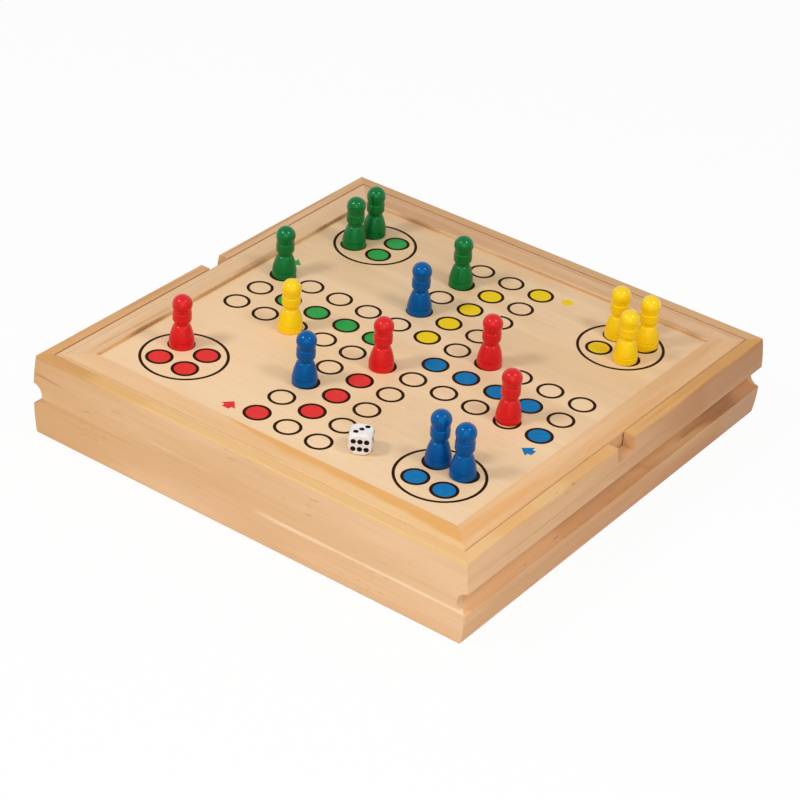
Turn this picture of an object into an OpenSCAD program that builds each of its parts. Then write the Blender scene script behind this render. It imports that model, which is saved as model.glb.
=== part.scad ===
// Square wooden games case with a lift-out ludo board, sixteen turned pawns and a die.
// +X runs to the right, +Y to the back, +Z up, and the origin is the centre of the underside.

/* [Case] */
// Overall width of the case, across the two coved sides
case_w = 301.4; // [280:0.2:340]
// Overall depth of the case, across the two flat sides
case_d = 300.7; // [280:0.1:340]
// Overall height of the case
case_h = 52.1; // [46:0.1:66]
// Thickness of the rim on a flat side
face_rim_t = 7.6; // [6:0.2:10]
// Thickness of the rim on a coved side, at its widest
side_rim_t = 8.8; // [7:0.2:12]
// Width of the ledge at the foot of the rim, which carries the board frame
ledge_w = 7; // [6:0.25:9]
// How far each coved side curves in from its middle to its top and bottom edges
side_bulge = 2.2; // [1:0.1:3]
// Height of the straight band in the middle of a coved side, between its two curved lips
side_flat = 8; // [4:0.5:12]
// Rounding of the top edge of a coved side
side_top_r = 1; // [0.6:0.1:3]
// Rounding of the bottom edge of a coved side
side_foot_r = 2.5; // [1.5:0.1:4.5]
// Rounding of the top edge of a flat side
face_top_r = 0.8; // [0.4:0.1:1.6]
// Rounding of the bottom edge of a flat side
face_foot_r = 1.8; // [1:0.1:3]

/* [Grip cove] */
// Radius of the cove that runs along each side for the fingers
cove_r = 6.7; // [5.5:0.1:7.5]
// Depth of the cove below the side
cove_depth = 6.2; // [4.5:0.1:7]
// How far the cove's centre line lies above the middle of the case's height
cove_rise = 0.35; // [-3:0.05:3]

/* [Finger notches] */
// Length of the notch cut in the middle of each coved side's rim
notch_l = 16.8; // [14:0.2:30]
// Depth of the notch below the top of the rim
notch_h = 9; // [6:0.25:11]

/* [Case bottom] */
// Thickness of the bottom panel
bottom_t = 4; // [3:0.25:5]
// Height of the bottom panel's underside above the underside of the case
bottom_rise = 3; // [2.5:0.25:4]
// Depth of the groove that holds the bottom panel
bottom_groove = 6; // [4:0.25:7]
// Room left round the bottom panel in its groove
bottom_gap = 0.5; // [0.2:0.1:1]

/* [Board frame] */
// Gap between the board frame and the rim, all round
frame_gap = 0.7; // [0.4:0.1:1.5]
// Height of a board frame rail
rail_h = 12; // [11:0.25:15]
// Width of a board frame rail
rail_w = 15.8; // [12:0.1:20]
// Width of the chamfer along a rail's upper edges
rail_chamfer = 0.5; // [0.2:0.1:1]
// How far the board's playing face lies below the top of its frame
board_drop = 2.4; // [1.2:0.1:4]

/* [Board] */
// Thickness of the board
board_t = 3; // [2:0.25:4]
// Depth of the groove that holds the board in the rails
board_groove = 5; // [3:0.25:7]
// Room left round the board in its groove
board_gap = 0.4; // [0.2:0.1:1]

/* [Playing field] */
// Distance from the board frame to the centres of the outermost fields, at the left and right
field_margin_w = 17.9; // [14:0.1:24]
// The same at the front and back, before the shift
field_margin_d = 18.75; // [14:0.05:24]
// How far the printed field lies from the board's centre towards the front
field_shift = 2.5; // [0:0.1:3]
// Distance from the board frame to the centre of a home corner, at the left and right
home_margin_w = 35.4; // [30:0.1:42]
// The same at the front and back, before the shift
home_margin_d = 36.25; // [30:0.05:42]
// Distance between the four places of a home corner
home_pitch = 19; // [17:0.1:22]

/* [Pawn] */
// Overall height of a pawn
pawn_h = 33; // [30:0.5:38]
// Diameter of a pawn's foot
foot_d = 14.6; // [13:0.1:16.5]
// Height of the straight foot band
foot_h = 3.8; // [2.5:0.1:5]
// Depth of the groove turned above the foot band
foot_groove = 0.45; // [0.2:0.05:0.7]
// Width of the groove turned above the foot band
foot_groove_w = 0.9; // [0.6:0.1:1.4]
// Width of the chamfers at the foot and at the skirt's upper end
pawn_chamfer = 0.5; // [0.2:0.1:0.8]
// Diameter of the skirt's upper end
skirt_top_d = 9.7; // [9:0.1:11]
// How far the skirt swells beyond a straight cone
skirt_swell = 0.3; // [0.1:0.05:0.6]
// Diameter of the waist between skirt and collar
waist_d = 8.6; // [7:0.1:9]
// Height of the waist between skirt and collar
waist_h = 1.4; // [1:0.1:2.5]
// Height of the collar's underside above the foot
collar_z = 15.5; // [14.5:0.1:16.5]
// Diameter of the collar
collar_d = 11; // [9.8:0.1:12]
// Height of the collar
collar_h = 6.9; // [5.5:0.1:7.2]
// Rounding of the collar's underside
collar_foot_r = 2.4; // [1.5:0.1:3]
// Rounding of the collar's upper edge
collar_top_r = 0.6; // [0.3:0.1:1]
// Diameter of the neck, where the head meets the collar
neck_d = 10.2; // [8:0.1:10.6]
// Diameter of the cheek, where the neck runs into the round head
cheek_d = 11; // [9:0.1:11.4]
// Diameter of the round head
head_d = 11.7; // [10.5:0.1:13]

/* [Die] */
// Length of the die's edges
die_s = 13; // [12:0.5:18]
// Rounding of the die's edges
die_edge_r = 1.5; // [1:0.1:2.5]
// How far the ball that rounds the die's corners is larger than the die, across
die_corner = 4.8; // [4:0.1:8]
// Diameter of a pip's hollow
pip_d = 3; // [2:0.1:3.4]
// Depth of a pip's hollow
pip_depth = 0.55; // [0.3:0.05:0.9]
// Distance between neighbouring pips
pip_pitch = 3.6; // [3.2:0.1:4.5]
// Distance from the board frame at the right to the centre of the die
die_margin_w = 82.5; // [75:0.1:95]
// Distance from the board frame at the front to the centre of the die
die_margin_d = 25.55; // [20:0.05:40]
// Turn of the die on the board, in degrees
die_turn = 30; // [-45:1:45]

/* [Hidden] */
$fn = 96;
// Margin by which a cutting shape runs past the face that it opens
past = 5;
// How far a mitre plane runs inwards and outwards from its corner
mitre_reach = 50;
// Ledge that carries the board frame, at the foot of the rim
ledge_z = case_h - rail_h;
// Board frame outer size, and the opening inside its rails
opening_w = case_w - 2 * side_rim_t;
opening_d = case_d - 2 * face_rim_t;
frame_w = opening_w - 2 * frame_gap;
frame_d = opening_d - 2 * frame_gap;
// Inside of the case between the walls, below the ledge
inner_w = opening_w - 2 * ledge_w;
inner_d = opening_d - 2 * ledge_w;
board_z = case_h - board_drop;
// Playing face that shows inside the rails, as half its width and half its depth
board_half = [frame_w / 2 - rail_w, frame_d / 2 - rail_w];
// Height of the cove's centre line
cove_z = case_h / 2 + cove_rise;
// Height and radius of the curved lip above or below the straight band of a coved side
lip_h = (case_h - side_flat) / 2;
lip_r = (pow(lip_h, 2) + pow(side_bulge, 2)) / (2 * side_bulge);
// Half width of the case at a height, on the coved sides
function side_x(z) = let (above_flat = max(0, abs(z - case_h / 2) - side_flat / 2))
    case_w / 2 - lip_r + sqrt(pow(lip_r, 2) - pow(above_flat, 2));
// Distances between neighbouring fields of the 11 by 11 grid, and from its middle to a home corner
field_pitch = [board_half[0] - field_margin_w, board_half[1] - field_margin_d] / 5;
home_reach = [board_half[0] - home_margin_w, board_half[1] - home_margin_d];
// Centres of the playing fields and of the places in the home corners
function field(column, row) = [(column - 5) * field_pitch[0], (row - 5) * field_pitch[1] - field_shift];
function home(sx, sy, i, j) = [sx * home_reach[0] + i * home_pitch / 2,
    sy * home_reach[1] + j * home_pitch / 2 - field_shift];
// Heights on a pawn of the skirt's two ends, the collar's top, the head's centre and the cheek
skirt_foot_z = foot_h + foot_groove_w;
skirt_top_z = collar_z - waist_h;
collar_top_z = collar_z + collar_h;
head_z = pawn_h - head_d / 2;
cheek_z = head_z - sqrt(pow(head_d / 2, 2) - pow(cheek_d / 2, 2));
case_tone = [0.86, 0.69, 0.50];
rail_tone = [0.89, 0.72, 0.54];

// The full width between the rounded edges: top radius rt, foot radius rf
module edge_profile(half, rt, rf) {
    translate([-half - past, rf])
        square([2 * half + 2 * past, case_h - rt - rf]);
}

// Outline of the case across its coved sides, drawn with x across and y up, before the coves are cut
module bulged_outline() {
    slack = 0.12;
    xt = side_x(case_h - side_top_r) - side_top_r + slack;
    xf = side_x(side_foot_r) - side_foot_r + slack;
    flank = case_w / 2 - side_bulge - past;
    difference() {
        union() {
            edge_profile(case_w / 2, side_top_r, side_foot_r);
            translate([-xt, case_h - 2 * side_top_r])
                square([2 * xt, 2 * side_top_r]);
            translate([-xf, 0])
                square([2 * xf, 2 * side_foot_r]);
            for (s = [-1, 1]) {
                translate([s * xt, case_h - side_top_r])
                    circle(r = side_top_r);
                translate([s * xf, side_foot_r])
                    circle(r = side_foot_r);
            }
        }
        for (s = [-1, 1])
            difference() {
                translate([s > 0 ? flank : -flank - side_bulge - 3 * past, -past])
                    square([side_bulge + 3 * past, case_h + 2 * past]);
                for (t = [-1, 1])
                    translate([s * (case_w / 2 - lip_r), (case_h + t * side_flat) / 2])
                        circle(r = lip_r, $fn = 720);
                translate([s > 0 ? flank - past : case_w / -2, (case_h - side_flat) / 2])
                    square([case_w / 2 - flank + past, side_flat]);
            }
    }
}

// Outline of the case across its flat sides, drawn with x across and y up
module flat_outline() {
    half = case_d / 2;
    intersection() {
        translate([-half, 0])
            square([case_d, case_h]);
        union() {
            edge_profile(half, face_top_r, face_foot_r);
            translate([face_top_r - half, case_h - 2 * face_top_r])
                square([case_d - 2 * face_top_r, 2 * face_top_r]);
            translate([face_foot_r - half, 0])
                square([case_d - 2 * face_foot_r, 2 * face_foot_r]);
            for (s = [-1, 1]) {
                translate([s * (half - face_top_r), case_h - face_top_r])
                    circle(r = face_top_r);
                translate([s * (half - face_foot_r), face_foot_r])
                    circle(r = face_foot_r);
            }
        }
    }
}

// A plain block, centred over the origin in x and y, from z0 up to z1
module slab(w, d, z0, z1) {
    translate([-w / 2, -d / 2, z0])
        cube([w, d, z1 - z0]);
}

// The four walls together, before they are parted at the mitres
module wall_ring() {
    difference() {
        intersection() {
            rotate([90, 0, 0])
                translate([0, 0, -case_d / 2 - past])
                    linear_extrude(case_d + 2 * past)
                        bulged_outline();
            rotate([90, 0, 90])
                translate([0, 0, -case_w / 2 - past])
                    linear_extrude(case_w + 2 * past)
                        flat_outline();
        }
        slab(inner_w, inner_d, -past, case_h + past);
        slab(opening_w, opening_d, ledge_z, case_h + past);
        slab(inner_w + 2 * bottom_groove, inner_d + 2 * bottom_groove, bottom_rise, bottom_rise + bottom_t);
        for (s = [-1, 1])
            translate([s * (case_w / 2 + cove_r - cove_depth), case_d / 2 + past, cove_z])
                rotate([90, 0, 0])
                    cylinder(r = cove_r, h = case_d + 2 * past);
        slab(case_w + 2 * past, notch_l, case_h - notch_h, case_h + past);
    }
}

// The wedge between two mitre planes of a w by d frame: 0 right, 1 back, 2 left, 3 front
module mitre_wedge(w, d, side) {
    corners = [[w / 2, d / 2], [-w / 2, d / 2], [-w / 2, -d / 2], [w / 2, -d / 2]];
    a = corners[(side + 3) % 4];
    b = corners[side];
    translate([0, 0, -past])
        linear_extrude(case_h + 2 * past)
            polygon([mitre_point(a, -mitre_reach), mitre_point(a, mitre_reach),
                mitre_point(b, mitre_reach), mitre_point(b, -mitre_reach)]);
}

// A point on the 45 degree line through a corner, moved outwards by a distance
function mitre_point(corner, out) = [corner[0] + sign(corner[0]) * out, corner[1] + sign(corner[1]) * out];

module case_wall(side) {
    color(case_tone)
        intersection() {
            wall_ring();
            mitre_wedge(opening_w, opening_d, side);
        }
}

module case_wall_right() {
    case_wall(0);
}

module case_wall_back() {
    case_wall(1);
}

module case_wall_left() {
    case_wall(2);
}

module case_wall_front() {
    case_wall(3);
}

module case_bottom() {
    spread = 2 * (bottom_groove - bottom_gap);
    color([0.84, 0.70, 0.52])
        slab(inner_w + spread, inner_d + spread, bottom_rise, bottom_rise + bottom_t);
}

// Section of a rail with its outer face at x = 0 and its inner side towards +x
module rail_section() {
    difference() {
        polygon([[0, ledge_z], [rail_w, ledge_z], [rail_w, case_h - rail_chamfer], [rail_w - rail_chamfer, case_h],
            [rail_chamfer, case_h], [0, case_h - rail_chamfer]]);
        translate([rail_w - board_groove, board_z - board_t])
            square([board_groove + past, board_t]);
    }
}

// Rail that lies along y, with its outer face at the left of the frame
module rail_along_y(w, d) {
    translate([-w / 2, d / 2 + past, 0])
        rotate([90, 0, 0])
            linear_extrude(d + 2 * past)
                rail_section();
}

module tray_rail(side) {
    across = side % 2 == 0;
    color(rail_tone)
        intersection() {
            rotate([0, 0, 180 + 90 * side])
                rail_along_y(across ? frame_w : frame_d, across ? frame_d : frame_w);
            mitre_wedge(frame_w, frame_d, side);
            slab(frame_w, frame_d, ledge_z - past, case_h + past);
        }
}

module tray_rail_right() {
    tray_rail(0);
}

module tray_rail_back() {
    tray_rail(1);
}

module tray_rail_left() {
    tray_rail(2);
}

module tray_rail_front() {
    tray_rail(3);
}

module board_panel() {
    spread = 2 * (board_groove - board_gap) - 2 * rail_w;
    color([0.85, 0.75, 0.62])
        slab(frame_w + spread, frame_d + spread, board_z - board_t, board_z);
}

// Disc whose edge passes through two points of a section and swells outwards between them
module swelling(low, high, swell) {
    chord = high - low;
    length = norm(chord);
    radius = (pow(length / 2, 2) + pow(swell, 2)) / (2 * swell);
    outwards = [chord[1], -chord[0]] / length;
    translate((low + high) / 2 - outwards * (radius - swell))
        circle(r = radius, $fn = 720);
}

// Right half of a pawn's section: foot band, groove, skirt, waist, collar, neck and head
module pawn_section() {
    foot_r = foot_d / 2;
    skirt_r = skirt_top_d / 2;
    skirt_low = [foot_r - 0.1, skirt_foot_z];
    skirt_high = [skirt_r, skirt_top_z - pawn_chamfer];
    intersection() {
        square([foot_r + past, pawn_h + past]);
        union() {
            polygon([[0, 0], [foot_r - pawn_chamfer, 0], [foot_r, pawn_chamfer], [foot_r, foot_h],
                [foot_r - foot_groove, foot_h + 0.3 * foot_groove_w],
                [foot_r - foot_groove, foot_h + 0.6 * foot_groove_w],
                skirt_low, [0, skirt_foot_z]]);
            intersection() {
                swelling(skirt_low, skirt_high, skirt_swell);
                translate([0, skirt_foot_z])
                    square([foot_r + past, skirt_high[1] - skirt_foot_z]);
            }
            polygon([[0, skirt_high[1]], skirt_high, [skirt_r - pawn_chamfer, skirt_top_z],
                [waist_d / 2, skirt_top_z + 0.6 * pawn_chamfer], [waist_d / 2, collar_z + collar_h / 2],
                [neck_d / 2, collar_z + collar_h / 2], [neck_d / 2, collar_top_z], [cheek_d / 2, cheek_z],
                [0, cheek_z]]);
            translate([collar_d / 2 - collar_foot_r, collar_z + collar_foot_r])
                circle(r = collar_foot_r);
            translate([collar_d / 2 - collar_top_r, collar_top_z - collar_top_r])
                circle(r = collar_top_r);
            translate([0, collar_z + collar_foot_r])
                square([collar_d / 2, collar_h - collar_foot_r - collar_top_r]);
            translate([0, collar_z + collar_foot_r])
                square([collar_d / 2 - collar_top_r, collar_h - collar_foot_r]);
            translate([0, head_z])
                circle(d = head_d);
        }
    }
}

// A pawn on its place, off the middle of it by a step to the right and to the back
module pawn(place, step, tone) {
    color(tone)
        translate([place[0] + step[0], place[1] + step[1], board_z])
            rotate_extrude()
                pawn_section();
}

red = [0.80, 0.10, 0.12];
blue = [0.04, 0.25, 0.55];
green = [0.08, 0.42, 0.18];
yellow = [0.94, 0.74, 0.10];

module pawn_red_1() {
    pawn(home(-1, -1, -1, 1), [0.9, -0.9], red);
}

module pawn_red_2() {
    pawn(field(5, 4), [0.2, -1.8], red);
}

module pawn_red_3() {
    pawn(field(7, 6), [0.9, -0.2], red);
}

module pawn_red_4() {
    pawn(field(9, 4), [-0.6, 1.8], red);
}

module pawn_blue_1() {
    pawn(home(1, -1, -1, 1), [0.7, 0.4], blue);
}

module pawn_blue_2() {
    pawn(home(1, -1, 1, 1), [-0.8, -1.3], blue);
}

module pawn_blue_3() {
    pawn(field(4, 2), [-0.5, -0.7], blue);
}

module pawn_blue_4() {
    pawn(field(4, 7), [0.3, -0.8], blue);
}

module pawn_green_1() {
    pawn(home(-1, 1, -1, -1), [0.6, -0.3], green);
}

module pawn_green_2() {
    pawn(home(-1, 1, -1, 1), [1.4, -0.1], green);
}

module pawn_green_3() {
    pawn(field(0, 6), [0.7, 0.2], green);
}

module pawn_green_4() {
    pawn(field(4, 9), [-0.4, -0.7], green);
}

module pawn_yellow_1() {
    pawn(home(1, 1, -1, 1), [0.3, -0.6], yellow);
}

module pawn_yellow_2() {
    pawn(home(1, 1, 1, 1), [0, 1.9], yellow);
}

module pawn_yellow_3() {
    pawn(home(1, 1, 1, -1), [-0.4, -1.3], yellow);
}

module pawn_yellow_4() {
    pawn(field(2, 4), [0, -3.8], yellow);
}

// Square with rounded corners, centred on the origin
module rounded_square(s, r) {
    square([s, s - 2 * r], center = true);
    square([s - 2 * r, s], center = true);
    for (x = [-1, 1], y = [-1, 1])
        translate([x * (s / 2 - r), y * (s / 2 - r)])
            circle(r = r);
}

module rounded_bar(s, r) {
    linear_extrude(s + 2, center = true)
        rounded_square(s, r);
}

// Places of the pips of each face, in steps of the pip pitch
one = [[0, 0]];
two = [[-1, 1], [1, -1]];
three = [[-0.8, -0.8], [0, 0], [0.8, 0.8]];
four = [[-1, -1], [-1, 1], [1, -1], [1, 1]];
five = [[-1, -1], [-1, 1], [0, 0], [1, -1], [1, 1]];
six = [[-1, -0.65], [0, -0.65], [1, -0.65], [-1, 0.65], [0, 0.65], [1, 0.65]];

// Hollows of the pips on the face that looks towards +z
module pips(places) {
    pip_r = (pow(pip_d / 2, 2) + pow(pip_depth, 2)) / (2 * pip_depth);
    for (p = places)
        translate([p[0] * pip_pitch, p[1] * pip_pitch, die_s / 2 + pip_r - pip_depth])
            sphere(r = pip_r, $fn = 48);
}

module die() {
    color([0.95, 0.95, 0.93])
        translate([board_half[0] - die_margin_w, die_margin_d - board_half[1], board_z + die_s / 2])
            rotate([0, 0, die_turn])
                difference() {
                    intersection() {
                        rounded_bar(die_s, die_edge_r);
                        rotate([90, 0, 0])
                            rounded_bar(die_s, die_edge_r);
                        rotate([0, 90, 0])
                            rounded_bar(die_s, die_edge_r);
                        sphere(d = die_s + die_corner);
                    }
                    pips(three);
                    rotate([180, 0, 0])
                        pips(four);
                    rotate([90, 0, 0])
                        pips(six);
                    rotate([-90, 0, 0])
                        pips(one);
                    rotate([0, 90, 0])
                        pips(five);
                    rotate([0, -90, 0])
                        pips(two);
                }
}

case_wall_front();
case_wall_back();
case_wall_left();
case_wall_right();
case_bottom();
tray_rail_front();
tray_rail_back();
tray_rail_left();
tray_rail_right();
board_panel();
pawn_red_1();
pawn_red_2();
pawn_red_3();
pawn_red_4();
pawn_blue_1();
pawn_blue_2();
pawn_blue_3();
pawn_blue_4();
pawn_green_1();
pawn_green_2();
pawn_green_3();
pawn_green_4();
pawn_yellow_1();
pawn_yellow_2();
pawn_yellow_3();
pawn_yellow_4();
die();
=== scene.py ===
import math
from collections import namedtuple

import bmesh
import bpy
from mathutils import Euler, Matrix, Vector


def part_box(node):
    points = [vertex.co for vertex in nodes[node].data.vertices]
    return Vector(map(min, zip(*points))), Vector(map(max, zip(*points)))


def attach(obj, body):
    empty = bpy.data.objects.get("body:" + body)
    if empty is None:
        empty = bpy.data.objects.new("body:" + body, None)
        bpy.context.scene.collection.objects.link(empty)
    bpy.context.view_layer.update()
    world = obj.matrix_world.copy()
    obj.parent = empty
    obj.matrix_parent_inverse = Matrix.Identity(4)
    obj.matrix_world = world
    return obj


# Looks of the ludo board box: wood, paint and ink of its solids, the printed field, light and camera.
# Lengths are in metres, and those written in millimetres are multiplied by MM.

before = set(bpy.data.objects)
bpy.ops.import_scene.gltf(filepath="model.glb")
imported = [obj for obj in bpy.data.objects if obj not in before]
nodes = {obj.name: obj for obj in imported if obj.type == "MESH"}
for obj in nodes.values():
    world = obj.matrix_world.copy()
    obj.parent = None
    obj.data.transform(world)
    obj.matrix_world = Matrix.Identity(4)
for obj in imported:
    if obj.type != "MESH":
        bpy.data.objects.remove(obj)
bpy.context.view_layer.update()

MM = 0.001
# Distance between neighbouring fields of the print
PITCH = 21.5 * MM
# How far the middle of the print lies from the board's centre, here towards the front
SHIFT_Y = -2.5 * MM
# Height of the board's face
BOARD_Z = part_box("board_panel")[1].z


def lin(r, g, b):
    """Linear colour of an sRGB one written 0 to 255."""
    out = []
    for c in (r, g, b):
        c /= 255.0
        out.append(c / 12.92 if c <= 0.04045 else ((c + 0.055) / 1.055) ** 2.4)
    return (*out, 1.0)


# Node helpers
class Tree:
    """A shader node tree, emptied first, with short ways to add the nodes used here."""

    def __init__(self, tree):
        self.tree = tree
        self.tree.nodes.clear()

    def new(self, kind, **props):
        node = self.tree.nodes.new(kind)
        for key, value in props.items():
            setattr(node, key, value)
        return node

    def link(self, source, socket):
        self.tree.links.new(source, socket)

    def put(self, socket, value):
        """Link a value to a socket, or set it there where it is a constant."""
        if isinstance(value, bpy.types.NodeSocket):
            self.link(value, socket)
        else:
            socket.default_value = value

    def noise(self, vector, detail, rough=0.5, scale=1.0, output="Fac"):
        node = self.new("ShaderNodeTexNoise")
        self.link(vector, node.inputs["Vector"])
        node.inputs["Scale"].default_value = scale
        node.inputs["Detail"].default_value = detail
        node.inputs["Roughness"].default_value = rough
        return node.outputs[output]

    def calc(self, operation, a, b=0.0):
        node = self.new("ShaderNodeMath", operation=operation)
        self.put(node.inputs[0], a)
        self.put(node.inputs[1], b)
        return node.outputs[0]

    def vector_calc(self, operation, a, b):
        node = self.new("ShaderNodeVectorMath", operation=operation)
        self.put(node.inputs[0], a)
        self.put(node.inputs[1], b)
        return node.outputs[0]

    def ramp(self, value, low, high, to_low=0.0, to_high=1.0, smooth=True):
        """A value mapped from low..high to to_low..to_high, held outside."""
        node = self.new("ShaderNodeMapRange", interpolation_type="SMOOTHSTEP" if smooth else "LINEAR")
        for socket, setting in zip(node.inputs[:5], (value, low, high, to_low, to_high)):
            self.put(socket, setting)
        return node.outputs[0]

    def mix(self, factor, a, b):
        node = self.new("ShaderNodeMix", data_type="RGBA")
        self.put(node.inputs[0], factor)
        self.put(node.inputs[6], a)
        self.put(node.inputs[7], b)
        return node.outputs[2]

    def axes(self, vector):
        node = self.new("ShaderNodeSeparateXYZ")
        self.link(vector, node.inputs[0])
        return {"x": node.outputs[0], "y": node.outputs[1], "z": node.outputs[2]}

    def bump(self, height, strength, distance, normal=None):
        node = self.new("ShaderNodeBump")
        node.inputs["Strength"].default_value = strength
        node.inputs["Distance"].default_value = distance
        self.link(height, node.inputs["Height"])
        if normal is not None:
            self.link(normal, node.inputs["Normal"])
        return node.outputs["Normal"]

    def in_view(self):
        """1 for rays of the camera, of mirrored light and through glass, which see plain white, else 0."""
        paths = self.new("ShaderNodeLightPath")
        other = self.calc("MAXIMUM", paths.outputs["Is Glossy Ray"], paths.outputs["Is Transmission Ray"])
        return self.calc("MAXIMUM", paths.outputs["Is Camera Ray"], other)


class Surface(Tree):
    """The tree of a new material, with its main shader, its output and the object's coordinates."""

    def __init__(self, name):
        self.material = bpy.data.materials.new(name)
        self.material.use_nodes = True
        super().__init__(self.material.node_tree)
        self.bsdf = self.new("ShaderNodeBsdfPrincipled")
        self.out = self.new("ShaderNodeOutputMaterial")
        self.link(self.bsdf.outputs["BSDF"], self.out.inputs["Surface"])
        self.coord = self.new("ShaderNodeTexCoord").outputs["Object"]

    def set(self, **values):
        """Link or set inputs of the main shader, whose names have _ for a blank."""
        for name, value in values.items():
            self.put(self.bsdf.inputs[name.replace("_", " ")], value)

    def mapped(self, location=(0, 0, 0), rotation=(0, 0, 0), scale=(1, 1, 1), source=None):
        node = self.new("ShaderNodeMapping")
        self.link(source or self.coord, node.inputs["Vector"])
        node.inputs["Location"].default_value = location
        node.inputs["Rotation"].default_value = rotation
        node.inputs["Scale"].default_value = scale
        return node.outputs["Vector"]


# Wood
# Half of the case's width, over which a wood's colour changes
CASE_HALF = 150 * MM
# Noise scales per metre, along the grain and twice across it
PATCHES = (4, 34, 34)
VEINS = (6, 210, 210)
RING_WANDER = (3.2, 14, 14)
RING_PLACES = (5, 30, 30)
FIBRES = (24, 1300, 1300)
RESIN = (150, 780, 780)
RESIN_PLACES = (22, 60, 60)
# Range over which that wandering noise bends the growth rings, along the grain and twice across it
RING_BEND = (0, 20 * MM, 20 * MM)
# Small turn, in radians, that keeps the rings from being quite parallel to the board
PITH_TILT = (0, 0.02, 0.015)
# Scale at which a band of the wave texture is one unit wide
ONE_BAND = 2 * math.pi / 20
# Noise scales along and across the grain of what makes the streaks' edges uneven
EDGE_ALONG = 16
EDGE_ACROSS = 90
# Length on each side of a streak's end over which it starts or stops
STREAK_FADE = 8 * MM

# A streak runs along the grain between its ends. Its middle, a place on the axis that crosses the grain,
# and its half width are given at both ends. All are in mm. Strength is the share of its colour.
Streak = namedtuple("Streak", "axis ends middles half_widths colour strength")


def streak_mask(g, run, cross, streak, wobble):
    """Where a streak lies, from run and cross, the places along and across the grain."""
    start, stop = (end * MM for end in streak.ends)
    middle = g.ramp(run, start, stop, *(at * MM for at in streak.middles), smooth=False)
    half = g.ramp(run, start, stop, *(width * MM for width in streak.half_widths), smooth=False)
    off = g.calc("DIVIDE", g.calc("ABSOLUTE", g.calc("SUBTRACT", cross, middle)), half)
    edge = g.ramp(g.calc("ADD", off, wobble), 0.5, 1.2, 1.0, 0.0)
    started = g.ramp(run, start - STREAK_FADE, start + STREAK_FADE)
    unfinished = g.ramp(run, stop - STREAK_FADE, stop + STREAK_FADE, 1.0, 0.0)
    return g.calc("MULTIPLY", edge, g.calc("MULTIPLY", started, unfinished))


def with_streaks(g, colour, along, streaks):
    """Streaks of colour along the grain, with slightly uneven edges: mostly the wood's own, and in places
    painted shade and painted light.
    """
    axes = g.axes(g.coord)
    scale = [EDGE_ALONG if axis == along else EDGE_ACROSS for axis in "xyz"]
    uneven = g.noise(g.mapped(scale=scale), 3.0, 0.6)
    wobble = g.calc("MULTIPLY", g.calc("SUBTRACT", uneven, 0.5), 1.6)
    for streak in streaks:
        mask = streak_mask(g, axes[along], axes[streak.axis], streak, wobble)
        colour = g.mix(g.calc("MULTIPLY", mask, streak.strength), colour, streak.colour)
    return colour


def with_patches(g, colour, grain, dark, pale, figure):
    """Soft patches of paler and darker wood, much longer than wide, and thin dark veins."""
    patch = g.noise(g.mapped(scale=PATCHES, source=grain), 3.0, 0.55)
    colour = g.mix(g.ramp(patch, 0.46, 0.68, 0.0, 0.7), colour, pale)
    colour = g.mix(g.ramp(patch, 0.30, 0.46, figure * 1.3, 0.0), colour, dark)
    veins = g.noise(g.mapped(scale=VEINS, source=grain), 3.0, 0.6)
    return g.mix(g.ramp(veins, 0.52, 0.74, 0.0, figure), colour, dark)


def late_wood(g, along_grain, grain, pith, ring, seed):
    """How dark the growth rings are: bent slowly along the board and strong only in places."""
    wander = g.noise(g.mapped(scale=RING_WANDER, source=grain), 2.0, output="Color")
    bend = g.vector_calc("MULTIPLY", g.vector_calc("SUBTRACT", wander, (0.5, 0.5, 0.5)), RING_BEND)
    from_pith = g.mapped(location=(0, -pith[0] * MM, -pith[1] * MM), rotation=PITH_TILT,
                         source=g.vector_calc("ADD", along_grain, bend))
    wave = g.new("ShaderNodeTexWave", wave_type="RINGS", rings_direction="X", wave_profile="SAW")
    g.link(from_pith, wave.inputs["Vector"])
    wave.inputs["Scale"].default_value = ONE_BAND / (ring * MM)
    wave.inputs["Distortion"].default_value = 1.6
    wave.inputs["Detail"].default_value = 3.0
    wave.inputs["Detail Scale"].default_value = 2.0
    places = g.noise(g.mapped(scale=RING_PLACES, source=along_grain), 1.0, scale=seed + 1.0)
    return g.calc("MULTIPLY", g.calc("POWER", wave.outputs["Fac"], 3.0), g.ramp(places, 0.42, 0.64))


def resin_spots(g, grain):
    """Where the few short resin flecks are."""
    resin = g.noise(g.mapped(scale=RESIN, source=grain), 0.0)
    places = g.noise(g.mapped(scale=RESIN_PLACES, source=grain), 1.0)
    return g.calc("MULTIPLY", g.ramp(resin, 0.76, 0.82), g.ramp(places, 0.57, 0.68))


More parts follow.
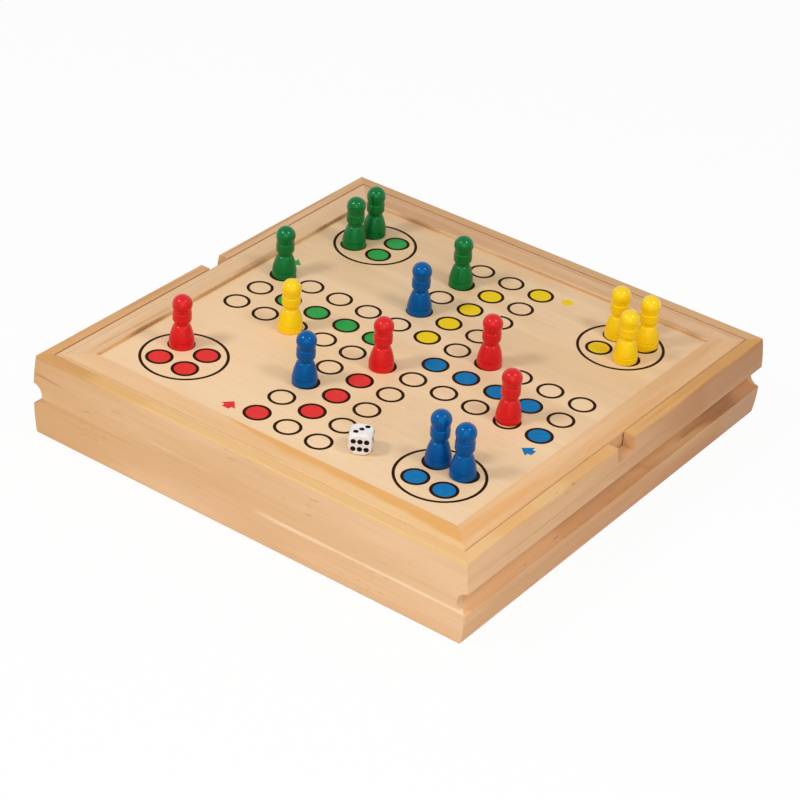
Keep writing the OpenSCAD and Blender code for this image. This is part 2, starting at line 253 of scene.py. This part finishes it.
def wood(name, near, far, dark, pale, along="x", fade=None, figure=0.3, flecks=0.5, rough=0.5,
         pith=(190, 80), ring=6, seed=0, streaks=()):
    """Oiled softwood with its grain along x or y.

    near and far are its colours at the low and the high end of the fade axis, by default the grain's.
    dark and pale are those of its figure, figure and flecks the strengths of its figure and resin flecks.
    pith is the middle of the growth rings across the grain and ring their spacing, both in mm.
    """
    g = Surface(name)
    along_grain = g.mapped(rotation=(0, 0, math.radians(90 if along == "y" else 0)))
    grain = g.mapped(location=(seed * 0.37, seed * 0.11, seed * 0.23), source=along_grain)
    fading = g.axes(g.coord)[fade or along]
    colour = g.mix(g.ramp(fading, -CASE_HALF, CASE_HALF, smooth=False), near, far)
    colour = with_patches(g, colour, grain, dark, pale, figure)
    late = late_wood(g, along_grain, grain, pith, ring, seed)
    colour = g.mix(g.calc("MULTIPLY", late, figure), colour, dark)
    if streaks:
        colour = with_streaks(g, colour, along, streaks)

    fibre = g.noise(g.mapped(scale=FIBRES, source=grain), 4.0, 0.62)
    colour = g.mix(g.ramp(fibre, 0.42, 0.78, 0.0, 0.22), colour, dark)
    spots = resin_spots(g, grain)
    fleck = (dark[0] * 0.5, dark[1] * 0.42, dark[2] * 0.36, 1.0)
    colour = g.mix(g.calc("MULTIPLY", spots, flecks), colour, fleck)

    pores = g.calc("SUBTRACT", fibre, g.calc("MULTIPLY", spots, 1.5))
    g.set(Base_Color=colour,
          Roughness=g.ramp(fibre, 0.3, 0.8, rough - 0.05, rough + 0.07),
          Normal=g.bump(late, 0.1, 0.12 * MM, g.bump(pores, 0.2, 0.1 * MM)),
          Specular_IOR_Level=0.25)
    return g.material


# Colours of the wood
TAN = lin(198, 146, 94)
BLUSH = lin(236, 196, 154)
GOLD = lin(236, 190, 122)
ORANGE = lin(231, 169, 92)
CREAM = lin(246, 212, 172)


# Walls and bottom of the case
def wall_front():
    streaks = [
        # Brown, at the left end
        Streak("z", (-152, -128), (40, 38.5), (1.2, 0.3), lin(180, 128, 82), 0.65),
        Streak("z", (-152, -138), (23.5, 24), (2.4, 0.8), lin(190, 138, 88), 0.55),
        Streak("z", (-140, -80), (23, 24), (2.4, 0.8), lin(214, 160, 98), 0.5),
        # Pale, the longest one on the right
        Streak("z", (-66, -18), (31.5, 31.5), (0.6, 0.5), CREAM, 0.4),
        Streak("z", (14, 40), (20.5, 20.0), (2.4, 1.2), lin(244, 210, 172), 0.7),
        Streak("z", (30, 155), (20.2, 20.6), (1.3, 1.0), lin(246, 214, 178), 0.85),
        # Rim
        Streak("z", (-155, -70), (51.9, 52.6), (2.4, 1.0), lin(206, 148, 76), 0.65),
        Streak("z", (-110, 155), (52.6, 52.4), (1.4, 3.0), GOLD, 0.6),
    ]
    return wood("wood_front", lin(218, 171, 120), lin(229, 187, 144), TAN, BLUSH,
                along="x", figure=0.16, flecks=0.28, seed=1, streaks=streaks)


def wall_back():
    rim = Streak("z", (-155, 155), (52, 52), (2.4, 3.0), lin(206, 154, 96), 0.5)
    return wood("wood_back", lin(214, 172, 132), lin(208, 166, 124), TAN, BLUSH,
                along="x", pith=(180, -60), seed=2, streaks=[rim])


def wall_right():
    streaks = [
        # Grip cove, painted darker as shade in the hollow, most in its far half; then the lip below it and
        # the edge between them
        Streak("z", (-155, -40), (25, 25), (6.6, 6.6), lin(222, 164, 102), 0.35),
        Streak("z", (-60, 155), (25.5, 27), (6.6, 6.6), lin(190, 128, 76), 0.45),
        Streak("z", (-155, 155), (9, 9), (9, 9), lin(208, 148, 86), 0.45),
        Streak("z", (-155, 0), (17.4, 17), (1.8, 1.2), lin(222, 168, 110), 0.5),
        # Painted shadow in the far half of the cove, with a red spot
        Streak("z", (66, 127), (22.0, 22.8), (1.6, 3.8), lin(146, 92, 52), 0.7),
        Streak("z", (92, 102), (20.6, 20.6), (1.3, 1.0), lin(186, 104, 70), 0.4),
        # Far end of the cove, paler as painted light that enters at the cove's open end, and of both lips
        Streak("z", (124, 155), (26.5, 23), (4.0, 6.0), lin(206, 140, 92), 0.6),
        Streak("z", (110, 155), (9, 9), (9, 12), lin(196, 158, 128), 0.6),
        Streak("z", (84, 155), (42, 40), (9, 12), lin(196, 152, 116), 0.5),
        # Red knot in the cove, and a thin line on the upper lip
        Streak("z", (18, 30), (25, 21), (2.0, 1.0), lin(190, 104, 72), 0.5),
        Streak("z", (-120, 150), (40, 41), (0.5, 0.5), lin(186, 134, 90), 0.4),
        # Rim, unevenly golden
        Streak("z", (-155, -20), (53.4, 53.2), (3.2, 2.6), lin(240, 196, 132), 0.6),
        Streak("z", (-30, 60), (53.2, 53.4), (2.8, 2.6), lin(232, 180, 110), 0.6),
        Streak("z", (40, 155), (53.4, 53.4), (2.6, 2.4), lin(222, 166, 96), 0.7),
        Streak("z", (-120, -84), (51.6, 51.4), (1.2, 0.7), lin(228, 166, 96), 0.5),
        Streak("z", (-58, -20), (51.4, 51.7), (0.8, 1.3), lin(216, 154, 90), 0.5),
        Streak("z", (66, 104), (50.8, 51.2), (0.9, 1.1), lin(176, 122, 66), 0.45),
        Streak("x", (20, 90), (145.5, 144.5), (1.2, 1.8), lin(204, 148, 84), 0.5),
    ]
    # Much darker and browner towards the far end: partly the wood's colour and partly painted shade, where
    # less light falls.
    return wood("wood_right", lin(234, 188, 144), lin(171, 108, 54), TAN, lin(226, 182, 134),
                along="y", figure=0.26, pith=(-190, 90), seed=3, streaks=streaks)


def wall_left():
    streaks = [
        Streak("x", (-155, -100), (-145, -146), (3.0, 1.5), lin(222, 164, 98), 0.5),
        Streak("x", (-80, -10), (-147, -145), (2.0, 1.0), lin(196, 144, 98), 0.5),
        Streak("x", (10, 120), (-146, -148), (1.2, 2.4), lin(190, 138, 92), 0.55),
    ]
    return wood("wood_left", lin(222, 172, 118), lin(216, 167, 116), TAN, BLUSH,
                along="y", figure=0.35, flecks=0.4, seed=4, streaks=streaks)


def case_bottom():
    return wood("wood_bottom", lin(222, 186, 144), lin(218, 180, 138), lin(196, 150, 104), BLUSH,
                along="y", flecks=0.3, rough=0.6, pith=(0, -500), ring=12, seed=10)


# Rails of the board's frame, and the board
def rail_front():
    streaks = [
        # One broad orange streak that widens and bends
        Streak("y", (-36, 20), (-125.5, -129.5), (0.8, 6.4), ORANGE, 0.85),
        Streak("y", (14, 70), (-129.5, -128.5), (6.4, 5.2), ORANGE, 0.85),
        Streak("y", (62, 145), (-128.5, -131.0), (5.0, 7.0), ORANGE, 0.85),
        # Along the gap to the rim, darker as painted shade
        Streak("y", (-150, 20), (-141, -141), (0.9, 0.5), lin(206, 152, 92), 0.5),
    ]
    return wood("wood_rail_front", lin(236, 193, 148), lin(240, 196, 138), lin(218, 164, 104), CREAM,
                along="x", figure=0.2, flecks=0.2, seed=5, streaks=streaks)


def rail_back():
    streaks = [
        # Inner edge, paler along its length, with darker places that are painted shade where the rail meets
        # the board
        Streak("y", (-150, 150), (126, 126), (0.9, 0.9), lin(234, 202, 156), 0.65),
        Streak("y", (-98, -72), (126, 126), (1.8, 1.4), lin(172, 118, 72), 0.65),
        Streak("y", (88, 120), (127.4, 126.8), (1.2, 0.9), lin(184, 132, 84), 0.45),
        Streak("y", (-24, 66), (126.2, 126.2), (0.3, 0.3), lin(190, 140, 92), 0.4),
        # Along the gap to the rim, darker as painted shade
        Streak("y", (-150, 150), (139.5, 139.5), (1.0, 1.2), lin(196, 146, 98), 0.35),
    ]
    return wood("wood_rail_back", lin(221, 178, 136), lin(221, 174, 128), lin(192, 138, 90),
                lin(233, 194, 154), along="x", figure=0.26, flecks=0.3, pith=(200, 150), seed=6,
                streaks=streaks)


def rail_left():
    streaks = [
        # Inner edge, paler along its length, with darker places that are painted shade where the rail meets
        # the board
        Streak("x", (-130, 120), (-126.0, -126.1), (1.1, 0.9), lin(228, 188, 136), 0.65),
        Streak("x", (-98, -68), (-125.5, -125.4), (0.7, 0.4), lin(158, 106, 62), 0.7),
        Streak("x", (-40, 5), (-125.4, -125.4), (0.4, 0.4), lin(176, 124, 78), 0.5),
        Streak("x", (76, 102), (-125.4, -125.4), (0.6, 0.6), lin(156, 110, 68), 0.7),
        # Top
        Streak("x", (-120, -60), (-130.0, -128.5), (0.8, 1.4), lin(200, 146, 92), 0.45),
        Streak("x", (0, 40), (-126.5, -127.0), (1.6, 1.4), lin(180, 126, 76), 0.5),
        Streak("x", (-150, 10), (-137.5, -136.0), (0.7, 0.4), lin(208, 160, 116), 0.4),
    ]
    return wood("wood_rail_left", lin(232, 190, 144), lin(226, 183, 138), lin(202, 150, 98),
                lin(236, 200, 160), along="y", figure=0.2, flecks=0.2, pith=(190, 170), seed=7,
                streaks=streaks)


def rail_right():
    streaks = [
        Streak("x", (-150, -60), (132, 134), (6.0, 3.0), lin(236, 172, 106), 0.6),
        Streak("x", (-110, -30), (126.2, 126.4), (1.4, 1.0), lin(240, 190, 120), 0.55),
        Streak("x", (-60, 10), (131, 129), (4.0, 2.0), lin(238, 192, 150), 0.5),
        Streak("x", (-20, 70), (137, 138), (2.4, 1.6), lin(226, 164, 98), 0.45),
    ]
    return wood("wood_rail_right", lin(236, 186, 132), lin(216, 170, 122), lin(210, 152, 94),
                lin(240, 198, 152), along="y", flecks=0.3, pith=(-200, 150), seed=8, streaks=streaks)


def board():
    # Paler towards the front and on the left: painted light, where more light falls.
    painted_light_left = Streak("y", (-150, 10), (-30, -60), (110, 60), lin(250, 214, 170), 0.5)
    return wood("wood_board", lin(245, 212, 172), lin(228, 192, 149), lin(216, 174, 128),
                lin(246, 216, 178), along="x", fade="y", figure=0.14, flecks=0, pith=(30, -420), ring=14,
                seed=9, streaks=[painted_light_left])


def cover(node, material):
    """Give a CAD node its material."""
    for slot in nodes[node].material_slots:
        slot.material = material


cover("case_wall_front", wall_front())
cover("case_wall_back", wall_back())
cover("case_wall_left", wall_left())
cover("case_wall_right", wall_right())
cover("case_bottom", case_bottom())
cover("tray_rail_front", rail_front())
cover("tray_rail_back", rail_back())
cover("tray_rail_left", rail_left())
cover("tray_rail_right", rail_right())
cover("board_panel", board())

# Lacquered pawns
PAWN_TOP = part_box("pawn_red_1")[1].z
# The paint is glossiest down to the first depth below a pawn's top, and dullest from the second
GLOSSY_TO = 10 * MM
DULL_FROM = 13 * MM


def lacquer(name, colour, deep, shine, seed):
    """Paint over turned wood, glossiest on the head, with thick and thin places and faint lathe rings.

    deep is its colour in thick places, and shine tints its highlights.
    """
    g = Surface(name)
    z = g.axes(g.coord)["z"]
    cloud = g.noise(g.mapped(location=(seed, 0, 0), scale=(120, 120, 90)), 3.0)
    lathe = g.noise(g.mapped(scale=(3, 3, 1500)), 2.0)
    duller = g.ramp(z, PAWN_TOP - DULL_FROM, PAWN_TOP - GLOSSY_TO, 0.14, 0.0)
    g.set(Base_Color=g.mix(g.ramp(cloud, 0.35, 0.7, 0.0, 0.55), colour, deep),
          Roughness=g.calc("ADD", g.ramp(cloud, 0.3, 0.7, 0.15, 0.2), duller),
          Normal=g.bump(lathe, 0.1, 0.08 * MM, g.bump(cloud, 0.1, 0.3 * MM)),
          Specular_IOR_Level=0.6,
          Specular_Tint=shine)
    return g.material


PAINT = {
    "red": lacquer("paint_red", lin(219, 26, 30), lin(203, 18, 22), (1.0, 0.35, 0.32, 1), 1),
    "blue": lacquer("paint_blue", lin(0, 80, 149), lin(0, 70, 136), (0.12, 0.55, 1.0, 1), 2),
    "green": lacquer("paint_green", lin(2, 103, 41), lin(0, 91, 32), (0.3, 1.0, 0.55, 1), 3),
    "yellow": lacquer("paint_yellow", lin(252, 210, 6), lin(245, 199, 2), (1.0, 0.9, 0.4, 1), 4),
}
for colour, material in PAINT.items():
    for number in (1, 2, 3, 4):
        cover(f"pawn_{colour}_{number}", material)


# White of the die
def die_white():
    g = Surface("die_white")
    cloud = g.noise(g.mapped(scale=(150, 150, 150)), 3.0)
    g.set(Base_Color=g.mix(g.ramp(cloud, 0.3, 0.7), lin(240, 236, 236), lin(232, 228, 227)),
          Roughness=g.ramp(cloud, 0.3, 0.7, 0.22, 0.3),
          Specular_IOR_Level=0.3,
          Subsurface_Weight=0.08,
          Subsurface_Scale=2 * MM)
    return g.material


cover("die", die_white())


# Inks
def ink(name, colour, worn, rough=0.42):
    """Screen-printed ink with a slightly uneven cover, nearer to its worn colour in places."""
    g = Surface(name)
    cloud = g.noise(g.mapped(scale=(260, 260, 260)), 3.0)
    grain = g.noise(g.mapped(scale=(60, 1500, 1500)), 2.0)
    wear = g.calc("ADD", g.calc("MULTIPLY", cloud, 0.7), g.calc("MULTIPLY", grain, 0.3))
    share = g.calc("MULTIPLY", g.ramp(wear, 0.42, 0.68), 0.5)
    g.set(Base_Color=g.mix(share, colour, worn),
          Roughness=g.ramp(cloud, 0.3, 0.7, rough - 0.04, rough + 0.06),
          Normal=g.bump(grain, 0.12, 0.05 * MM),
          Specular_IOR_Level=0.02)
    return g.material


INK = {
    "black": ink("ink_black", lin(46, 22, 8), lin(62, 34, 16)),
    "red": ink("ink_red", lin(228, 58, 56), lin(230, 72, 66)),
    "blue": ink("ink_blue", lin(22, 117, 178), lin(48, 126, 180)),
    "green": ink("ink_green", lin(52, 163, 77), lin(74, 168, 88)),
    "yellow": ink("ink_yellow", lin(241, 206, 34), lin(238, 204, 64)),
}
PIP_INK = ink("ink_pip", lin(38, 26, 22), lin(48, 38, 34), rough=0.3)

# Printed shapes, as closed solids that reach from just below the board's face to just above it
SUNK = 0.15 * MM
LINE_PROUD = 0.04 * MM
FILL_PROUD = 0.6 * LINE_PROUD
CIRCLE_SIDES = 72


def circle(bm, centre, radius, z):
    """A closed loop of points round a centre."""
    loop = []
    for i in range(CIRCLE_SIDES):
        turn = 2 * math.pi * i / CIRCLE_SIDES
        loop.append(bm.verts.new((centre.x + radius * math.cos(turn), centre.y + radius * math.sin(turn), z)))
    return loop


def band(bm, a, b):
    """Faces between two closed loops with as many points each."""
    for i in range(len(a)):
        j = (i + 1) % len(a)
        bm.faces.new((a[i], a[j], b[j], b[i]))


def plate(bm, low, high):
    """A solid between a lower and an upper loop."""
    band(bm, low, high)
    bm.faces.new(high)
    bm.faces.new(list(reversed(low)))


def disc(bm, centre, radius, proud):
    plate(bm, circle(bm, centre, radius, BOARD_Z - SUNK), circle(bm, centre, radius, BOARD_Z + proud))


def ring(bm, centre, outer, inner, proud):
    low, high = BOARD_Z - SUNK, BOARD_Z + proud
    corners = ((outer, low), (outer, high), (inner, high), (inner, low))
    loops = [circle(bm, centre, radius, z) for radius, z in corners]
    for a, b in zip(loops, loops[1:] + loops[:1]):
        band(bm, a, b)


def prism(bm, points, proud):
    """A printed shape with straight edges, whose points run anticlockwise."""
    low = [bm.verts.new((p.x, p.y, BOARD_Z - SUNK)) for p in points]
    high = [bm.verts.new((p.x, p.y, BOARD_Z + proud)) for p in points]
    plate(bm, low, high)


def piece(name, bm, material, body, smooth=False):
    """Make a finished mesh a piece of the scene that rides on a body."""
    bmesh.ops.recalc_face_normals(bm, faces=bm.faces)
    mesh = bpy.data.meshes.new(name)
    bm.to_mesh(mesh)
    bm.free()
    mesh.materials.append(material)
    for face in mesh.polygons:
        face.use_smooth = smooth
    obj = bpy.data.objects.new(name, mesh)
    bpy.context.scene.collection.objects.link(obj)
    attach(obj, body)


# Printed field
FIELD_INNER = 6.25 * MM
FIELD_OUTER = 8.1 * MM
# How far a coloured fill reaches under its ring
FILL_LAP = 0.3 * MM
HOME_RADIUS = 25.9 * MM
HOME_LINE = 1.75 * MM
# Grid steps from the middle field, on both axes, to where a home corner's fields and its circle are centred
HOME_REACH = 90 * MM / PITCH
HOME_CIRCLE = 89.6 * MM / PITCH
# Half of the distance between the fields of a home corner, in grid steps
HOME_STEP = 9.5 * MM / PITCH
# Quarter turns that carry blue's quarter of the print onto the others
TURNS = {"blue": 0, "yellow": 1, "green": 2, "red": 3}
# Blue's quarter of the track in grid steps: its coloured start, then plain fields in and out to the next arm
TRACK = [(5, -1), (4, -1), (3, -1), (2, -1), (1, -1), (1, -2), (1, -3), (1, -4), (1, -5), (0, -5)]
HOME_ROW = [(1, 0), (2, 0), (3, 0), (4, 0)]
ARROW = [(4.97, -1.77), (5.24, -2.0), (5.24, -1.885), (5.35, -1.885),
         (5.35, -1.655), (5.24, -1.655), (5.24, -1.53)]


def place(u, v, quarters):
    """A point of the print in metres, from its grid steps in blue's quarter and some quarter turns."""
    for _ in range(quarters):
        u, v = -v, u
    return Vector((u * PITCH, v * PITCH + SHIFT_Y, 0))


def plain_field(inks, at):
    ring(inks["black"], at, FIELD_OUTER, FIELD_INNER, LINE_PROUD)


def coloured_field(inks, colour, at):
    plain_field(inks, at)
    disc(inks[colour], at, FIELD_INNER + FILL_LAP, FILL_PROUD)


def home_corner(inks, colour, quarters):
    """The circle of a home corner with its four coloured fields."""
    middle = place(HOME_CIRCLE, -HOME_CIRCLE, quarters)
    ring(inks["black"], middle, HOME_RADIUS, HOME_RADIUS - HOME_LINE, LINE_PROUD)
    for i in (-1, 1):
        for j in (-1, 1):
            at = place(HOME_REACH + i * HOME_STEP, -HOME_REACH + j * HOME_STEP, quarters)
            coloured_field(inks, colour, at)


def quarter(inks, colour, quarters):
    """A colour's quarter of the print: its track, home row, arrow and home corner."""
    start, *others = [place(u, v, quarters) for u, v in TRACK]
    coloured_field(inks, colour, start)
    for at in others:
        plain_field(inks, at)
    for u, v in HOME_ROW:
        coloured_field(inks, colour, place(u, v, quarters))
    prism(inks[colour], [place(u, v, quarters) for u, v in ARROW], LINE_PROUD)
    home_corner(inks, colour, quarters)


inks = {colour: bmesh.new() for colour in INK}
for colour, quarters in TURNS.items():
    quarter(inks, colour, quarters)
for colour, bm in inks.items():
    piece(f"print_{colour}", bm, INK[colour], "board_tray")

# Pips of the die
DIE_LOW, DIE_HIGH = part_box("die")
DIE_SIZE = DIE_HIGH.z - DIE_LOW.z
# How far the die is turned about z as it stands on the board
DIE_TURN = math.radians(30)
# Radius of the ball that cuts the die's corners
DIE_BALL = DIE_SIZE / 2 + 2.4 * MM
PIP_PITCH = 3.6 * MM
PIP_WIDTH = 3.0 * MM
PIP_DEPTH = 0.55 * MM
# Radius of the ball that cuts a pip's hollow
PIP_BALL = ((PIP_WIDTH / 2) ** 2 + PIP_DEPTH ** 2) / (2 * PIP_DEPTH)
# Angle at that ball's middle between the hollow's lowest point and its rim
PIP_RIM = math.asin(PIP_WIDTH / 2 / PIP_BALL)
# How far the ink reaches on both sides of the hollow's surface
PIP_SKIN = 0.03 * MM
PIP_RINGS = 6
PIP_SIDES = 28
# Places of the pips in steps of their pitch
ONE = [(0, 0)]
TWO = [(-1, 1), (1, -1)]
THREE = [(-0.8, -0.8), (0, 0), (0.8, 0.8)]
FOUR = [(-1, -1), (-1, 1), (1, -1), (1, 1)]
FIVE = FOUR + ONE
SIX = [(-1, -0.65), (0, -0.65), (1, -0.65), (-1, 0.65), (0, 0.65), (1, 0.65)]
# Pips of each face, with the axis and the angle in degrees that turn the top face there
DIE_FACES = [
    (THREE, "X", 0),
    (FOUR, "X", 180),
    (SIX, "X", 90),
    (ONE, "X", -90),
    (FIVE, "Y", 90),
    (TWO, "Y", -90),
]


def within(point, reach):
    """The point itself, or where it lies outside a ball round the die's middle, the nearest one on that."""
    return point * min(1.0, reach / point.length)


def pip_layer(bm, face, x, y, offset):
    """The cap of a pip's hollow at some offset outwards. It returns the loop at its rim."""
    radius = PIP_BALL - offset
    middle = Vector((x, y, DIE_SIZE / 2 + PIP_BALL - PIP_DEPTH))
    tip = bm.verts.new(face @ (middle - Vector((0, 0, radius))))
    loops = []
    for k in range(1, PIP_RINGS + 1):
        slope = PIP_RIM * k / PIP_RINGS
        flat = math.sin(slope)
        loop = []
        for i in range(PIP_SIDES):
            turn = 2 * math.pi * i / PIP_SIDES
            way = Vector((flat * math.cos(turn), flat * math.sin(turn), -math.cos(slope)))
            loop.append(bm.verts.new(face @ within(middle + radius * way, DIE_BALL + offset)))
        loops.append(loop)
    for i in range(PIP_SIDES):
        bm.faces.new((tip, loops[0][i], loops[0][(i + 1) % PIP_SIDES]))
    for a, b in zip(loops, loops[1:]):
        band(bm, a, b)
    return loops[-1]


def pip(bm, face, x, y):
    """Ink that lines a pip's hollow in a face and ends where the die's corner is cut."""
    outer = pip_layer(bm, face, x, y, PIP_SKIN)
    inner = pip_layer(bm, face, x, y, -PIP_SKIN)
    band(bm, outer, inner)


stand = Matrix.Translation((DIE_LOW + DIE_HIGH) / 2) @ Matrix.Rotation(DIE_TURN, 4, "Z")
pips = bmesh.new()
for places, axis, angle in DIE_FACES:
    face = stand @ Matrix.Rotation(math.radians(angle), 4, axis)
    for i, j in places:
        pip(pips, face, i * PIP_PITCH, j * PIP_PITCH)
piece("die_pips", pips, PIP_INK, "die", smooth=True)

# Floor
FLOOR_HALF = 4.0
# How much of the floor's own shading, and so of the object's shadow, the camera sees
SHADOW_SHARE = 0.07


def floor_white():
    """A matt floor that looks white to the camera and keeps some of the shadow."""
    g = Surface("floor_white")
    g.set(Base_Color=(0.93, 0.93, 0.93, 1), Roughness=0.8, Specular_IOR_Level=0.1)
    glow = g.new("ShaderNodeEmission")
    glow.inputs["Color"].default_value = (1, 1, 1, 1)
    glow.inputs["Strength"].default_value = 1.0
    blend = g.new("ShaderNodeMixShader")
    g.link(g.calc("MULTIPLY", g.in_view(), 1 - SHADOW_SHARE), blend.inputs[0])
    g.link(g.bsdf.outputs["BSDF"], blend.inputs[1])
    g.link(glow.outputs[0], blend.inputs[2])
    g.link(blend.outputs[0], g.out.inputs["Surface"])
    return g.material


grid = bmesh.new()
bmesh.ops.create_grid(grid, x_segments=1, y_segments=1, size=FLOOR_HALF)
mesh = bpy.data.meshes.new("floor")
grid.to_mesh(mesh)
grid.free()
mesh.materials.append(floor_white())
floor = bpy.data.objects.new("floor", mesh)
bpy.context.scene.collection.objects.link(floor)

# World and lamps
# Strength of the light that comes from all sides
AMBIENT = 0.42
# What the lamps point at
AIM = Vector((0, 0, 0.05))
WARM = (1.0, 0.985, 0.96)
PALE = (1.0, 0.99, 0.97)


def background(tree, colour, strength):
    node = tree.new("ShaderNodeBackground")
    node.inputs["Color"].default_value = colour
    node.inputs["Strength"].default_value = strength
    return node.outputs[0]


def studio():
    """A world that is white to look at and lights the object at a lower level."""
    world = bpy.data.worlds.new("studio")
    world.use_nodes = True
    tree = Tree(world.node_tree)
    either = tree.new("ShaderNodeMixShader")
    tree.link(tree.in_view(), either.inputs[0])
    tree.link(background(tree, (1.0, 0.99, 0.975, 1), AMBIENT), either.inputs[1])
    tree.link(background(tree, (1, 1, 1, 1), 1.0), either.inputs[2])
    tree.link(either.outputs[0], tree.new("ShaderNodeOutputWorld").inputs["Surface"])
    return world


def softbox(name, direction, distance, size, level, tint):
    """A square lamp that lights a white surface facing it to the given share of full white."""
    lamp = bpy.data.lights.new(name, "AREA")
    lamp.shape = "SQUARE"
    lamp.size = size
    lamp.energy = level * math.pi ** 2 * distance ** 2
    lamp.color = tint
    obj = bpy.data.objects.new(name, lamp)
    bpy.context.scene.collection.objects.link(obj)
    way = Vector(direction).normalized()
    obj.location = AIM + way * distance
    obj.rotation_euler = way.to_track_quat("Z", "Y").to_euler()


bpy.context.scene.world = studio()
# Two small lamps, whose highlights are a pair on every pawn's head, and a broad one from the front
softbox("key_left", direction=(-0.356, -0.574, 0.732), distance=1.3, size=0.24, level=0.3, tint=WARM)
softbox("key_right", direction=(0.597, 0.019, 0.804), distance=1.3, size=0.24, level=0.2, tint=PALE)
softbox("fill_front", direction=(0.5, -0.72, 0.5), distance=0.95, size=0.8, level=0.3, tint=WARM)

# Camera, solved from the print's vanishing points
CAMERA_PLACE = Vector((0.70101, -1.02903, 0.79718))
# Turns about x, y and z in degrees, from a look straight down
CAMERA_TURNS = (57.804, -3.686, 36.688)
# Focal length and width of the sensor, both in mm
CAMERA_LENS = 113.786
CAMERA_SENSOR = 36

camera_data = bpy.data.cameras.new("camera")
camera_data.sensor_width = CAMERA_SENSOR
camera_data.lens = CAMERA_LENS
camera_data.clip_start = 0.05
camera_data.clip_end = 50
camera = bpy.data.objects.new("camera", camera_data)
bpy.context.scene.collection.objects.link(camera)
aim = Euler([math.radians(angle) for angle in CAMERA_TURNS]).to_matrix().to_4x4()
camera.matrix_world = Matrix.Translation(CAMERA_PLACE) @ aim
bpy.context.scene.camera = camera
bpy.context.scene.view_settings.view_transform = "Standard"
